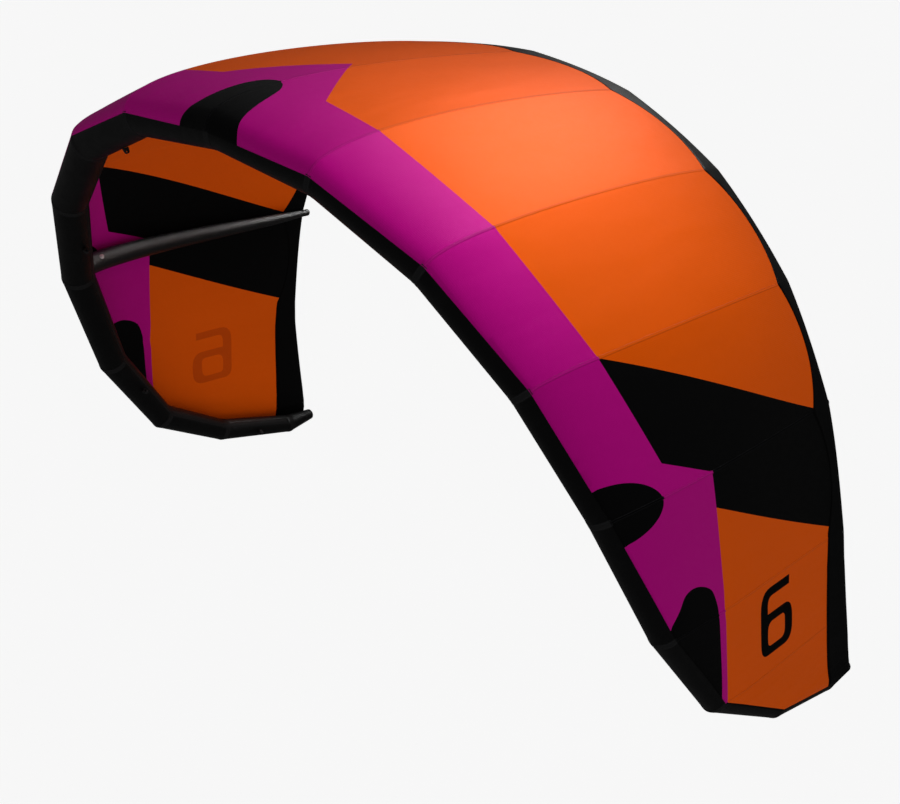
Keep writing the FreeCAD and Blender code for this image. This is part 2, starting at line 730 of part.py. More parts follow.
def handle_shape():
    """Webbing handle under the centre strut: two sewn ends and an arch between them."""
    stations = strut_stations(0, MANY_STATIONS)
    centre, run, radius = min(stations, key=lambda item: abs(item[0].y - dim("handle_place")))
    across = Vector(1, 0, 0)
    under = across.cross(run)
    if under.z > 0:
        under = under * -1
    half = dim("handle_span") / 2
    foot = dim("handle_foot")
    thick = dim("handle_thickness")
    high = dim("handle_height")
    surface = centre + under * (radius + dim("handle_seat"))

    def spot(along, away):
        return surface + run * along + under * away

    inner = half - foot
    edges = [
        Part.makeLine(spot(-half, 0), spot(-inner, 0)),
        Part.Arc(spot(-inner, 0), spot(0, high), spot(inner, 0)).toShape(),
        Part.makeLine(spot(inner, 0), spot(half, 0)),
        Part.makeLine(spot(half, 0), spot(half, thick)),
        Part.makeLine(spot(half, thick), spot(inner + thick, thick)),
        Part.Arc(spot(inner + thick, thick), spot(0, high + thick), spot(-inner - thick, thick)).toShape(),
        Part.makeLine(spot(-inner - thick, thick), spot(-half, thick)),
        Part.makeLine(spot(-half, thick), spot(-half, 0)),
    ]
    face = Part.Face(Part.Wire(Part.__sortEdges__(edges)))
    strap = face.extrude(across * dim("handle_width"))
    strap.translate(across * (-dim("handle_width") / 2))
    print("handle", [round(c / 1000, 4) for c in surface], [round(c, 4) for c in run])
    return strap.cut(strut_solid(0, 1, -dim("gap")))


add_shape("centre_strut_handle", handle_shape())

# ---- checks and export --------------------------------------------------------------------------

doc.recompute()
for item in doc.Objects:
    if any(word in item.State for word in ("Invalid", "Error")):
        raise RuntimeError(f"{item.Name} did not compute: {item.State}")
for piece in pieces:
    if piece.Shape.isNull() or not piece.Shape.isValid():
        raise RuntimeError(f"{piece.Label} has no valid shape")

os.makedirs("parts", exist_ok=True)
for piece in pieces:
    piece.Shape.exportStep(f"parts/{piece.Label}.step")
    print(piece.Label, round(piece.Shape.Volume / 1000, 2), "cm3", len(piece.Shape.Solids), "solids")

for name, frame in list(VALVE_FRAMES.items()) + list(PORT_FRAMES.items()):
    print("valve", name, [[round(c, 6) for c in vector] for vector in frame])
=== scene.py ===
import math
import bpy
import numpy as np
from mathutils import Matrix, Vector, geometry, kdtree


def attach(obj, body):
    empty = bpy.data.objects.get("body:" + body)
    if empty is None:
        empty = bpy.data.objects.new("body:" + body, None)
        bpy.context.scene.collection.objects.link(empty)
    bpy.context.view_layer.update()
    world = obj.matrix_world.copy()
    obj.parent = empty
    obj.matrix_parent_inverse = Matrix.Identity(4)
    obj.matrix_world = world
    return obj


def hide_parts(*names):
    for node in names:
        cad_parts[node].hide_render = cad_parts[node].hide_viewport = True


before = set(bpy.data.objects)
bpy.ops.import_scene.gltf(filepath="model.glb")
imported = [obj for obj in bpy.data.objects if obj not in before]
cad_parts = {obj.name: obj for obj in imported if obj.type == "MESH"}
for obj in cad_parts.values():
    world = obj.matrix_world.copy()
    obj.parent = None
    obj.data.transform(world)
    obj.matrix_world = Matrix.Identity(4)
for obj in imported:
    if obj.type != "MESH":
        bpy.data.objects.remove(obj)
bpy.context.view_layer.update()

# The kite's cloth is worked out in plan coordinates, in metres: x along the leading edge from the
# symmetry plane, y back from the line where the canopy is sewn to the tube. y is negative on the
# part of the cloth that is wrapped over the tube.

# ---- sizes, in metres and degrees ------------------------------------------------------------------

# The leading edge: its straight tube segments from the middle to a tip, how far it has rolled down
# and swept back at a distance along it, and the radius of its tube.
RUNS = [0.42, 0.42, 0.42, 0.42, 0.46, 0.38, 0.33, 0.33, 0.115]
ROLL_FULL, ROLL_LENGTH, ROLL_POWER, TIP_TUCK = 87, 2.55, 1.19, 26.5
SWEEP_RATE, SWEEP_JUMP, SWEEP_PLACE, SWEEP_WIDTH, END_SWEEP = 11.35, 45.5, 2.56, 0.167, 88
TUBE_RADIUS, TUBE_TAPER, TUBE_END_RADIUS = 0.068, 0.527, 0.021

# The canopy's seams: how far they lie off the tube, where they end, the angles at which they leave
# the tube and reach the trailing edge, and how far these angles carry along the seam.
CANOPY_OFFSET = 0.004
CHORD_MIDDLE, CHORD_GAIN, EDGE_TUCK = 1.298, 0.09, 0.012
FRONT_RISE, FRONT_RISE_RATE, FRONT_FLAT_PLACE, FRONT_FLAT_WIDTH = 18.5, 6.5, 1.895, 0.14
REAR_FALL, REAR_FALL_RATE, REAR_FLAT_PLACE, REAR_FLAT_WIDTH, REAR_FALL_TIP = 7.8, 15, 1.51, 0.1, 2
FRONT_PULL, REAR_PULL = 0.185, 0.218

# The cloth: how far it wraps round the tube at each joint, its height over the tube, its thickness,
# the least width of the wrap, the length in which it settles onto the seams, what it has at the tips
# beyond the length between the seams' ends, how much its creases are eased, and its mesh's cell size.
CLOTH_EDGE_ANGLE = [88, 75, 60, 47.5, 39, 16, 1, 0, 0]
CLOTH_LIFT = 0.0008
CLOTH_THICK = 0.0009
LEAST_WRAP = 0.004
SETTLE_LENGTH = 0.16
TIP_REACH_PLACES = [2.25, 2.52, 2.7, 2.85, 3, 3.18]
TIP_REACH = [0, 0.016, 0.022, 0.0225, 0.01, -0.013]
SMOOTHING = 0.6
CELL = 0.0136

LAST = len(RUNS)
TIP_CORNER = 8
SEAM_JOINTS = 6
DISTANCE = [sum(RUNS[:j]) for j in range(LAST + 1)]
HALF_SPAN = DISTANCE[-1]
CLOTH_END = DISTANCE[TIP_CORNER]
MIRROR = np.array([-1, 1, 1])


# ---- the leading-edge line -------------------------------------------------------------------------

def unit(vector):
    return vector / np.linalg.norm(vector)


def segment_roll(i):
    middle = DISTANCE[i] + RUNS[i] / 2
    share = min(1, (middle / ROLL_LENGTH) ** ROLL_POWER)
    roll = math.radians(ROLL_FULL * math.sin(math.pi / 2 * share))
    if i == LAST - 2:
        roll += math.radians(TIP_TUCK)
    return math.radians(-90) if i == LAST - 1 else roll


def segment_sweep(i):
    middle = DISTANCE[i] + RUNS[i] / 2
    late = 1 / (1 + math.exp((SWEEP_PLACE - middle) / SWEEP_WIDTH))
    return math.radians(END_SWEEP if i == LAST - 1 else SWEEP_RATE * middle + SWEEP_JUMP * late)


def segment_direction(i):
    roll, sweep = segment_roll(i), segment_sweep(i)
    return np.array([math.cos(roll) * math.cos(sweep), math.sin(sweep), -math.sin(roll) * math.cos(sweep)])


DIRECTION = [segment_direction(i) for i in range(LAST)]
POINT = [np.zeros(3)]
for i in range(LAST):
    POINT.append(POINT[-1] + DIRECTION[i] * RUNS[i])


def outward(j):
    before, after = abs(segment_roll(max(j - 1, 0))), abs(segment_roll(min(j, LAST - 1)))
    angle = 0 if j == 0 else min((before + after) / 2, math.pi / 2)
    return np.array([math.sin(angle), 0, math.cos(angle)])


OUT = [outward(j) for j in range(LAST + 1)]


def tube_radius(j):
    if j == LAST:
        return TUBE_END_RADIUS
    return TUBE_RADIUS * (1 - TUBE_TAPER * (DISTANCE[j] / HALF_SPAN) ** 2)


def radius_at(x):
    """Radius of the tube at any place along it."""
    return np.interp(np.abs(x), DISTANCE, [tube_radius(j) for j in range(LAST + 1)])


def mitre(j):
    """Normal of the mitre plane at joint j, the axis it is stretched along, and by how much."""
    before = DIRECTION[j - 1] if j > 0 else DIRECTION[0] * np.array([1, -1, -1])
    after = DIRECTION[min(j, LAST - 1)]
    normal = unit(before + after)
    turn = np.cross(before, after)
    if np.linalg.norm(turn) < 1e-6:
        return normal, OUT[j], 1.0
    half = math.acos(min(1, float(before @ after))) / 2
    return normal, np.cross(unit(turn), normal), 1 / math.cos(half)


def ring_axes(j):
    """The tube's outward and forward spokes in the mitre plane of joint j, for a radius of 1."""
    normal, axis, stretch = mitre(j)
    up = unit(OUT[j] - normal * (OUT[j] @ normal))
    front = np.cross(normal, up)
    return [spoke + axis * ((spoke @ axis) * (stretch - 1)) for spoke in (up, front)]


# ---- canopy seams ----------------------------------------------------------------------------------

def fade(distance, place, width):
    return 1 / (1 + math.exp((distance - place) / width))


def front_angle(j):
    rise = FRONT_RISE + FRONT_RISE_RATE * DISTANCE[j]
    return math.radians(rise * fade(DISTANCE[j], FRONT_FLAT_PLACE, FRONT_FLAT_WIDTH))


def rear_angle(j):
    fall = REAR_FALL + REAR_FALL_RATE * DISTANCE[j]
    return math.radians(fall * fade(DISTANCE[j], REAR_FLAT_PLACE, REAR_FLAT_WIDTH) + REAR_FALL_TIP)


def seam_poles(j):
    """Poles of the canopy's seam at joint j, from the tube to the trailing edge."""
    out = OUT[j]
    if j >= TIP_CORNER:
        end = POINT[LAST] + OUT[LAST] * (TUBE_END_RADIUS + CANOPY_OFFSET)
    else:
        share = (DISTANCE[j] / HALF_SPAN) ** 2
        end = np.array([POINT[j][0], CHORD_MIDDLE + CHORD_GAIN * share, POINT[j][2]]) - out * EDGE_TUCK
    chord = end - POINT[j]
    back = unit(chord - out * (chord @ out))
    front, rear = front_angle(j), rear_angle(j)
    radius = tube_radius(j) * mitre(j)[2] + CANOPY_OFFSET
    start = POINT[j] + (out * math.cos(front) - back * math.sin(front)) * radius
    if j >= TIP_CORNER:
        return [start + (end - start) * (k / 3) for k in range(4)]
    length = np.linalg.norm(end - start)
    front_run = back * math.cos(front) + out * math.sin(front)
    rear_run = out * math.sin(rear) - back * math.cos(rear)
    return [start, start + front_run * FRONT_PULL * length, end + rear_run * REAR_PULL * length, end]


STEPS = 128     # equal steps along each seam


def even_curve(poles):
    """Points at even distances along a seam, and its length."""
    v = np.linspace(0, 1, STEPS + 1)[:, None]
    weights = ((1 - v) ** 3, 3 * (1 - v) ** 2 * v, 3 * (1 - v) * v ** 2, v ** 3)
    points = sum(weight * pole for weight, pole in zip(weights, poles))
    arc = np.concatenate([[0], np.cumsum(np.linalg.norm(np.diff(points, axis=0), axis=1))])
    even = np.linspace(0, arc[-1], STEPS + 1)
    return np.stack([np.interp(even, arc, points[:, k]) for k in range(3)], axis=1), arc[-1]


def both_sides(values):
    """Values at the joints of the left half, the middle and the right half, in order along x."""
    values = np.array(values)
    return np.concatenate([values[:0:-1], values])


def mirrored(points):
    points = np.array(points)
    return np.concatenate([points[:0:-1] * MIRROR, points])


SEAM_DATA = [even_curve(seam_poles(j)) for j in range(TIP_CORNER + 1)]
CURVE = mirrored([data[0] for data in SEAM_DATA])
CHORD = both_sides([data[1] for data in SEAM_DATA])
KNOTS = np.concatenate([-np.array(DISTANCE[TIP_CORNER:0:-1]), DISTANCE[:TIP_CORNER + 1]])
SEWN_TURN = both_sides([front_angle(j) for j in range(TIP_CORNER + 1)])
FRONT_TURN = both_sides(np.radians(CLOTH_EDGE_ANGLE))
CLOTH_RADIUS = both_sides([tube_radius(j) + CLOTH_LIFT for j in range(TIP_CORNER + 1)])

TUBE_KNOTS = np.concatenate([-np.array(DISTANCE[:0:-1]), DISTANCE])
TUBE_CENTRE = mirrored(POINT)
TUBE_UP = mirrored([ring_axes(j)[0] for j in range(LAST + 1)])
TUBE_FRONT = mirrored([ring_axes(j)[1] for j in range(LAST + 1)])
TUBE_SIZE = both_sides([tube_radius(j) for j in range(LAST + 1)])


def between(knots, x):
    """The span of knots that x lies in, and its share of that span."""
    i = np.clip(np.searchsorted(knots, x, side="right") - 1, 0, len(knots) - 2)
    return i, (x - knots[i]) / (knots[i + 1] - knots[i])


def tube_point(x, angle, lift=0.0):
    """Point over the tube's surface; angle is from the outward side towards the front, in radians."""
    x, angle, lift = np.broadcast_arrays(*[np.atleast_1d(np.asarray(v, float)) for v in (x, angle, lift)])
    i, f = between(TUBE_KNOTS, x)
    turn = angle[:, None]
    ends = [TUBE_CENTRE[k] + (TUBE_UP[k] * np.cos(turn) + TUBE_FRONT[k] * np.sin(turn))
            * (TUBE_SIZE[k] + lift)[:, None] for k in (i, i + 1)]
    return ends[0] * (1 - f[:, None]) + ends[1] * f[:, None]


def seam_point(k, share):
    place = share * STEPS
    n = np.clip(place.astype(int), 0, STEPS - 1)
    f = (place - n)[:, None]
    return CURVE[k, n] * (1 - f) + CURVE[k, n + 1] * f


def canopy_point(x, share):
    """Outer surface of the canopy behind the tube: panels that crease at the seams, eased a little."""
    i, f = between(KNOTS, x)
    top = len(KNOTS) - 1

    def point(k):
        return seam_point(np.clip(k, 0, top), share)

    def slope(k):
        gap_before = (KNOTS[np.clip(k, 0, top)] - KNOTS[np.clip(k - 1, 0, top)])[:, None]
        gap_after = (KNOTS[np.clip(k + 1, 0, top)] - KNOTS[np.clip(k, 0, top)])[:, None]
        before = (point(k) - point(k - 1)) / np.where(gap_before > 0, gap_before, 1)
        after = (point(k + 1) - point(k)) / np.where(gap_after > 0, gap_after, 1)
        even = (before * gap_after + after * gap_before) / (gap_before + gap_after)
        return np.where(gap_before == 0, after, np.where(gap_after == 0, before, even))

    run = (KNOTS[i + 1] - KNOTS[i])[:, None]
    f = f[:, None]
    first, second = point(i), point(i + 1)
    smooth = ((2 * f ** 3 - 3 * f ** 2 + 1) * first + (f ** 3 - 2 * f ** 2 + f) * slope(i) * run
              + (3 * f ** 2 - 2 * f ** 3) * second + (f ** 3 - f ** 2) * slope(i + 1) * run)
    weight = (SMOOTHING * share * (2 - share))[:, None]
    return ((1 - f) * first + f * second) * (1 - weight) + smooth * weight


def chord_at(x):
    """Length of the cloth behind the sewing line, evened out along the tips."""
    return np.interp(x, KNOTS, CHORD) + np.interp(np.abs(x), TIP_REACH_PLACES, TIP_REACH)


def wrap_at(x):
    """Width of the cloth that is wrapped over the tube at x."""
    turn = np.interp(x, KNOTS, FRONT_TURN) - np.interp(x, KNOTS, SEWN_TURN)
    return np.maximum(turn * np.interp(x, KNOTS, CLOTH_RADIUS), LEAST_WRAP)


def cloth(x, y):
    """Outer surface of the cloth at plan place x, y."""
    x, y = np.broadcast_arrays(*[np.atleast_1d(np.asarray(v, float)) for v in (x, y)])
    turn = np.interp(x, KNOTS, SEWN_TURN)
    radius = np.interp(x, KNOTS, CLOTH_RADIUS)
    wrapped = tube_point(x, turn - np.minimum(y, 0) / radius, CLOTH_LIFT)
    step = canopy_point(x, np.zeros_like(x)) - tube_point(x, turn, CLOTH_LIFT)
    settle = np.clip(1 - y / SETTLE_LENGTH, 0, 1)[:, None] ** 2
    back = canopy_point(x, np.maximum(y, 0) / np.interp(x, KNOTS, CHORD)) - step * settle
    return np.where((y >= 0)[:, None], back, wrapped)


def cloth_normal(x, y):
    """Unit outward normal of the cloth."""
    x, y = np.broadcast_arrays(*[np.atleast_1d(np.asarray(v, float)) for v in (x, y)])
    reach = 0.002
    low, high = np.maximum(x - reach, -CLOTH_END), np.minimum(x + reach, CLOTH_END)
    y = np.clip(y, -wrap_at(x) + reach, chord_at(x) - reach)
    across = cloth(high, y) - cloth(low, y)
    along = cloth(x, y + reach) - cloth(x, y - reach)
    normal = np.cross(across, along)
    return normal / np.linalg.norm(normal, axis=1)[:, None]


# ---- colour regions of the cloth, as outlines in plan coordinates ----------------------------------

def smooth_outline(points, count=10):
    """Smooth open curve through the points."""
    points = [Vector((*p, 0)) for p in points]
    ends = [points[0] * 2 - points[1]] + points + [points[-1] * 2 - points[-2]]
    curve = []
    for a, b, c, d in zip(ends, ends[1:], ends[2:], ends[3:]):
        for k in range(count):
            t = k / count
            curve.append((b * 2 + (c - a) * t + (a * 2 - b * 5 + c * 4 - d) * t ** 2
                          + (b * 3 - a - c * 3 + d) * t ** 3) / 2)
    return [(p.x, p.y) for p in curve + [points[-1]]]


def rounded(points, radii, count=6):
    """Closed outline with each corner rounded by its radius."""
    outline = []
    for k, (corner, radius) in enumerate(zip(points, radii)):
        corner = Vector(corner)
        if radius == 0:
            outline.append(tuple(corner))
            continue
        before = (Vector(points[k - 1]) - corner).normalized() * radius
        after = (Vector(points[(k + 1) % len(points)]) - corner).normalized() * radius
        for n in range(count + 1):
            t = n / count
            outline.append(tuple(corner + before * (1 - t) ** 2 + after * t ** 2))
    return outline


def leaf(middle, half_width, base, tip):
    """Rounded reinforcement patch that runs back from the tube, around x = middle."""
    count, fullness = 28, 0.55
    right = []
    for k in range(count + 1):
        t = math.sin(math.pi / 2 * k / count)
        half = half_width * (1 - t ** 2) ** fullness
        right.append((half, base + (tip - base) * t))
    return [(middle + h, y) for h, y in right] + [(middle - h, y) for h, y in reversed(right[:-1])]


def two_sided(outline):
    """An outline of the right half and its mirror image."""
    return [outline, [(-x, y) for x, y in outline]]


LEAN_REACH, LEAN_FADE = 0.41, 0.15


def lean(outline, rate, most):
    """Shifts an outline to the left the further back it goes, but only near the kite's middle."""
    moved = []
    for x, y in outline:
        share = min(1, max(0, (LEAN_REACH - abs(x)) / LEAN_FADE))
        moved.append((x - min(rate * y, most) * share, y))
    return moved


# Places off the cloth, ahead of all of it and behind all of it.
AHEAD, BEHIND = -0.2, 1.6

# Outlines of the right half: the magenta front, the black stripe and the black marks at the tube.
BUMP = smooth_outline([(2.125, -0.05), (2.06, 0.04), (2.015, 0.095), (2.009, 0.15), (2.04, 0.195),
                       (2.09, 0.197), (2.15, 0.178), (2.27, 0.115), (2.4, 0.045), (2.5, -0.01)])
MAGENTA_HALF = [(0, AHEAD), (2.56, AHEAD), (2.56, -0.004), (2.527, 0), (2.378, 0.083), (2.183, 0.193),
                (2.068, 0.247), (1.794, 0.355), (1.679, 0.4), (1.591, 0.23), (1.26, 0.211),
                (0.838, 0.21), (0.412, 0.212), (0.225, 0.236), (0, 0.557)]
BLACK_HALF = [(1.26, 0.211), (1.591, 0.23), (1.679, 0.4), (1.794, 0.355), (2.16, 0.927), (2.16, BEHIND),
              (1.689, BEHIND), (1.689, 1.03)]
MAGENTA = [lean(MAGENTA_HALF + [(-x, y) for x, y in reversed(MAGENTA_HALF[1:-1])], 0.15, 0.035)]
BLACK = two_sided(BLACK_HALF) + two_sided(BUMP + [(2.5, AHEAD), (2.125, AHEAD)])
CENTRE_LEAF = smooth_outline([(0.136, -0.1), (0.128, -0.06), (0.112, -0.02), (0.1, 0.02), (0.09, 0.08),
                              (0.08, 0.14), (0.066, 0.19), (0.046, 0.222), (0.022, 0.238), (0, 0.242)])
BLACK += [lean(CENTRE_LEAF + [(-x, y) for x, y in reversed(CENTRE_LEAF[:-1])], 0.07, 1)]
BLACK += two_sided(leaf(1.676, 0.096, -0.03, 0.174))
TIP_EDGE = [(2.52, AHEAD), (2.52, 0), (2.6, 0.004), (2.85, 0.006), (3.3, 0.009), (3.3, AHEAD)]
BLACK += two_sided(TIP_EDGE)

# The number on each wing: its place, its right and down directions, and its shapes in a unit square.
NUMERAL_PLACE, NUMERAL_RIGHT, NUMERAL_DOWN = (2.17, 0.387), (0, 0.18), (0.273, -0.157)
NUMERAL_SHAPES = [
    rounded([(0.91, 0), (0.9, 0.13), (0.22, 0.13), (0.22, 0.375), (1, 0.375), (1, 1), (0, 1), (0, 0)],
            [0, 0, 0.14, 0, 0.25, 0.27, 0.2, 0.3]),
    rounded([(0.22, 0.505), (0.76, 0.505), (0.76, 0.87), (0.22, 0.87)], [0.16, 0.09, 0.14, 0.09]),
]


def numeral_place(shape, side):
    """Outline on one half; both numerals read the right way round from outside the kite."""
    (x, y), (rx, ry), (dx, dy) = NUMERAL_PLACE, NUMERAL_RIGHT, NUMERAL_DOWN
    turned = [(a if side > 0 else 1 - a, b) for a, b in shape]
    return [(side * (x + rx * a + dx * b), y + ry * a + dy * b) for a, b in turned]


NUMERAL = [numeral_place(shape, side) for shape in NUMERAL_SHAPES for side in (1, -1)]
REGIONS = [("magenta", MAGENTA), ("black", BLACK), ("numeral", NUMERAL)]
CLOTH_COLOURS = ["orange", "magenta", "black", "numeral"]


def inside(outline, x, y):
    """True where a point lies within a closed outline."""
    odd = np.zeros(len(x), bool)
    for (x1, y1), (x2, y2) in zip(outline, outline[1:] + outline[:1]):
        if y1 == y2:
            continue
        crosses = (y1 > y) != (y2 > y)
        odd ^= crosses & (x < (x2 - x1) * (y - y1) / (y2 - y1) + x1)
    return odd


def colour_at(x, y):
    """Index in CLOTH_COLOURS at each plan place."""
    index = np.zeros(len(x), int)
    for name, outlines in REGIONS:
        covered = np.zeros(len(x), bool)
        for outline in outlines:
            covered ^= inside(outline, x, y)
        index[covered] = CLOTH_COLOURS.index(name)
    return index


# ---- trailing-edge band ----------------------------------------------------------------------------

BAND_MIDDLE, BAND_SCALLOP = 0.045, 0.055
TIP_BAND = [(2.12, 0.09), (2.25, 0.1), (2.52, 0.12), (2.6, 0.124), (2.85, 0.1355), (3.18, 0.142)]
MOST_BAND_SHARE = 0.93      # of the cloth behind the sewing line


def band_width(x):
    """Width of the black band along the trailing edge: widest at each seam, then wider to the tip."""
    f = between(KNOTS, x)[1]
    scalloped = BAND_MIDDLE + BAND_SCALLOP * (2 * np.abs(f - 0.5)) ** 2
    tip = np.interp(np.abs(x), *zip(*TIP_BAND))
    most = MOST_BAND_SHARE * chord_at(x)
    return np.minimum(np.where(np.abs(x) < TIP_BAND[0][0], scalloped, tip), most)


# ---- materials -------------------------------------------------------------------------------------

THREAD_PITCH, THREAD_WIDTH, THREAD_HEIGHT = 0.0055, 0.0009, 0.00012    # ripstop threads
YARN_PITCH, YARN_HEIGHT = 0.0007, 0.00005                              # the canopy cloth's own weave
TAPE_YARN_PITCH, TAPE_YARN_HEIGHT = 0.0009, 0.00008
STITCH_PITCH, STITCH_HEIGHT = 0.0042, 0.0003
SAILCLOTH_PITCH, SAILCLOTH_HEIGHT = 0.0011, 0.0001
RIB_PITCH, RIB_WIDTH, RIB_HEIGHT = 0.0022, 0.0012, 0.0003              # webbing


class Nodes:
    """A material's node tree, built a node at a time."""

    def __init__(self, name, **settings):
        self.material = bpy.data.materials.new(name)
        self.material.use_nodes = True
        self.tree = self.material.node_tree
        self.shader = next(n for n in self.tree.nodes if n.type == "BSDF_PRINCIPLED")
        for key, value in settings.items():
            self.shader.inputs[key.replace("_", " ")].default_value = value

    def add(self, kind, *inputs, **settings):
        """Adds a node; inputs are values or sockets in order, None to leave one alone."""
        node = self.tree.nodes.new("ShaderNode" + kind)
        for key, value in settings.items():
            setattr(node, key, value)
        for socket, value in zip(node.inputs, inputs):
            if isinstance(value, bpy.types.NodeSocket):
                self.tree.links.new(value, socket)
            elif value is not None:
                socket.default_value = value
        return node

    def math(self, operation, *inputs):
        return self.add("Math", *inputs, operation=operation).outputs[0]

    def link(self, socket, name):
        self.tree.links.new(socket, self.shader.inputs[name])

    def plan(self, attribute):
        """Plan coordinates carried by the mesh, or object coordinates on a CAD node."""
        if attribute:
            return self.add("Attribute", attribute_name="plan").outputs["Vector"]
        return self.add("TexCoord").outputs["Object"]

    def noise(self, vector, scale, detail, stretch=(1, 1, 1)):
        mapped = self.add("Mapping", vector, None, None, stretch).outputs[0]
        node = self.add("TexNoise", mapped)
        node.inputs["Scale"].default_value = scale
        node.inputs["Detail"].default_value = detail
        return node.outputs["Fac"]

    def spread(self, value, low, high):
        """Maps 0 to 1 onto low to high."""
        return self.add("MapRange", value, 0.0, 1.0, low, high).outputs[0]

    def line(self, coordinate, pitch, width):
        """1 on thin lines repeated at this pitch, 0 between them."""
        wave = self.math("PINGPONG", coordinate, pitch / 2)
        return self.add("MapRange", wave, width * 0.35, width * 0.65, 1.0, 0.0).outputs[0]

    def blend(self, share, first, second):
        """Mix of two colours or colour sockets."""
        node = self.add("Mix", data_type="RGBA")
        for name, value in (("Factor", share), ("A", first), ("B", second)):
            socket = next(s for s in node.inputs if s.name == name and s.enabled)
            if isinstance(value, bpy.types.NodeSocket):
                self.tree.links.new(value, socket)
            else:
                socket.default_value = value
        return next(s for s in node.outputs if s.enabled)

    def bump(self, *layers):
        """Bump from (height, distance) layers, each on top of the one before."""
        normal = None
        for height, distance in layers:
            node = self.add("Bump")
            node.inputs["Strength"].default_value = 1.0
            node.inputs["Distance"].default_value = distance
            self.tree.links.new(height, node.inputs["Height"])
            if normal is not None:
                self.tree.links.new(normal, node.inputs["Normal"])
            normal = node.outputs[0]
        self.link(normal, "Normal")


def shade(colour, factor):
    return (*[c * factor for c in colour[:3]], 1)


def grid(nodes, plan, pitch, width):
    """Mask of square ripstop threads."""
    x, y, _ = nodes.add("SeparateXYZ", plan).outputs
    return nodes.math("MAXIMUM", nodes.line(x, pitch, width), nodes.line(y, pitch, width))


def weave(nodes, plan, pitch):
    """Height of a plain weave, from crossing waves."""
    x, y, z = nodes.add("SeparateXYZ", plan).outputs
    waves = [nodes.math("SINE", nodes.math("MULTIPLY", axis, math.pi / pitch)) for axis in (x, y, z)]
    return nodes.math("ADD", nodes.math("MULTIPLY", waves[0], waves[1]), waves[2])


def ripstop(name, colour, roughness=0.55, specular=0.1, tint=(1, 1, 1, 1), satin=0.0):
    """Canopy cloth: light woven polyester with a grid of thicker threads and a soft sheen."""
    nodes = Nodes(name, Specular_IOR_Level=specular, Specular_Tint=tint, Metallic=satin)
    plan = nodes.plan(True)
    threads = grid(nodes, plan, THREAD_PITCH, THREAD_WIDTH)
    broad = nodes.noise(plan, 1.7, 2.0)
    fine = nodes.noise(plan, 45.0, 4.0)
    ground = nodes.blend(nodes.spread(broad, 0.0, 1.0), shade(colour, 0.95), shade(colour, 1.05))
    speckled = nodes.blend(nodes.spread(fine, 0.0, 0.12), ground, shade(colour, 0.7))
    darker = nodes.math("MULTIPLY", threads, 0.22)
    nodes.link(nodes.blend(darker, speckled, shade(colour, 0.55)), "Base Color")
    rough = nodes.spread(fine, roughness - 0.07, roughness + 0.07)
    nodes.link(nodes.math("ADD", rough, nodes.math("MULTIPLY", threads, 0.08)), "Roughness")
    pull = nodes.noise(plan, 3.2, 2.0, (2.2, 0.8, 1))
    yarns = weave(nodes, plan, YARN_PITCH)
    nodes.bump((pull, 0.006), (threads, THREAD_HEIGHT), (yarns, YARN_HEIGHT))
    return nodes.material


def dacron(name, colour, pitch=SAILCLOTH_PITCH, roughness=0.42, specular=0.18):
    """Dense sailcloth of the tubes: heavy plain weave, slightly glossy, scuffed a little."""
    nodes = Nodes(name, Specular_IOR_Level=specular)
    plan = nodes.plan(False)
    scuff = nodes.noise(plan, 16.0, 5.0)
    marks = nodes.add("MapRange", scuff, 0.56, 0.74, 0.0, 1.0).outputs[0]
    nodes.link(nodes.blend(nodes.math("MULTIPLY", marks, 0.35), colour, shade(colour, 2.6)), "Base Color")
    nodes.link(nodes.spread(scuff, roughness - 0.12, roughness + 0.12), "Roughness")
    wrinkle = nodes.noise(plan, 7.0, 3.0)
    nodes.bump((wrinkle, 0.003), (weave(nodes, plan, pitch), SAILCLOTH_HEIGHT))
    return nodes.material


def stitched(name, colour, thread, half_width, row=0.0035, specular=0.12):
    """Sewn tape with a row of stitches inside each edge; its mesh carries along and across as plan."""
    nodes = Nodes(name, Specular_IOR_Level=specular)
    plan = nodes.plan(True)
    along, across, _ = nodes.add("SeparateXYZ", plan).outputs
    from_middle = nodes.math("ABSOLUTE", across)
    from_row = nodes.math("ABSOLUTE", nodes.math("SUBTRACT", from_middle, half_width - row))
    near = nodes.add("MapRange", from_row, 0.0003, 0.0007, 1.0, 0.0).outputs[0]
    dash = nodes.math("PINGPONG", along, STITCH_PITCH / 2)
    drawn = nodes.add("MapRange", dash, STITCH_PITCH * 0.12, STITCH_PITCH * 0.18, 0.0, 1.0).outputs[0]
    stitch = nodes.math("MULTIPLY", near, drawn)
    wear = nodes.noise(plan, 60.0, 4.0)
    ground = nodes.blend(nodes.spread(wear, 0.0, 0.25), colour, shade(colour, 1.3))
    nodes.link(nodes.blend(stitch, ground, thread), "Base Color")
    nodes.link(nodes.spread(wear, 0.45, 0.65), "Roughness")
    nodes.bump((weave(nodes, plan, TAPE_YARN_PITCH), TAPE_YARN_HEIGHT), (stitch, STITCH_HEIGHT))
    return nodes.material


def webbing(name, colour):
    """Narrow woven strap: slanting ribs, worn in places."""
    nodes = Nodes(name, Specular_IOR_Level=0.25)
    plan = nodes.plan(False)
    x, _, z = nodes.add("SeparateXYZ", plan).outputs
    ribs = nodes.line(nodes.math("ADD", x, z), RIB_PITCH, RIB_WIDTH)
    wear = nodes.noise(plan, 90.0, 4.0)
    nodes.link(nodes.blend(nodes.spread(wear, 0.0, 0.5), colour, shade(colour, 2.0)), "Base Color")
    nodes.link(nodes.spread(wear, 0.6, 0.85), "Roughness")
    nodes.bump((ribs, RIB_HEIGHT), (wear, 0.0002))
    return nodes.material


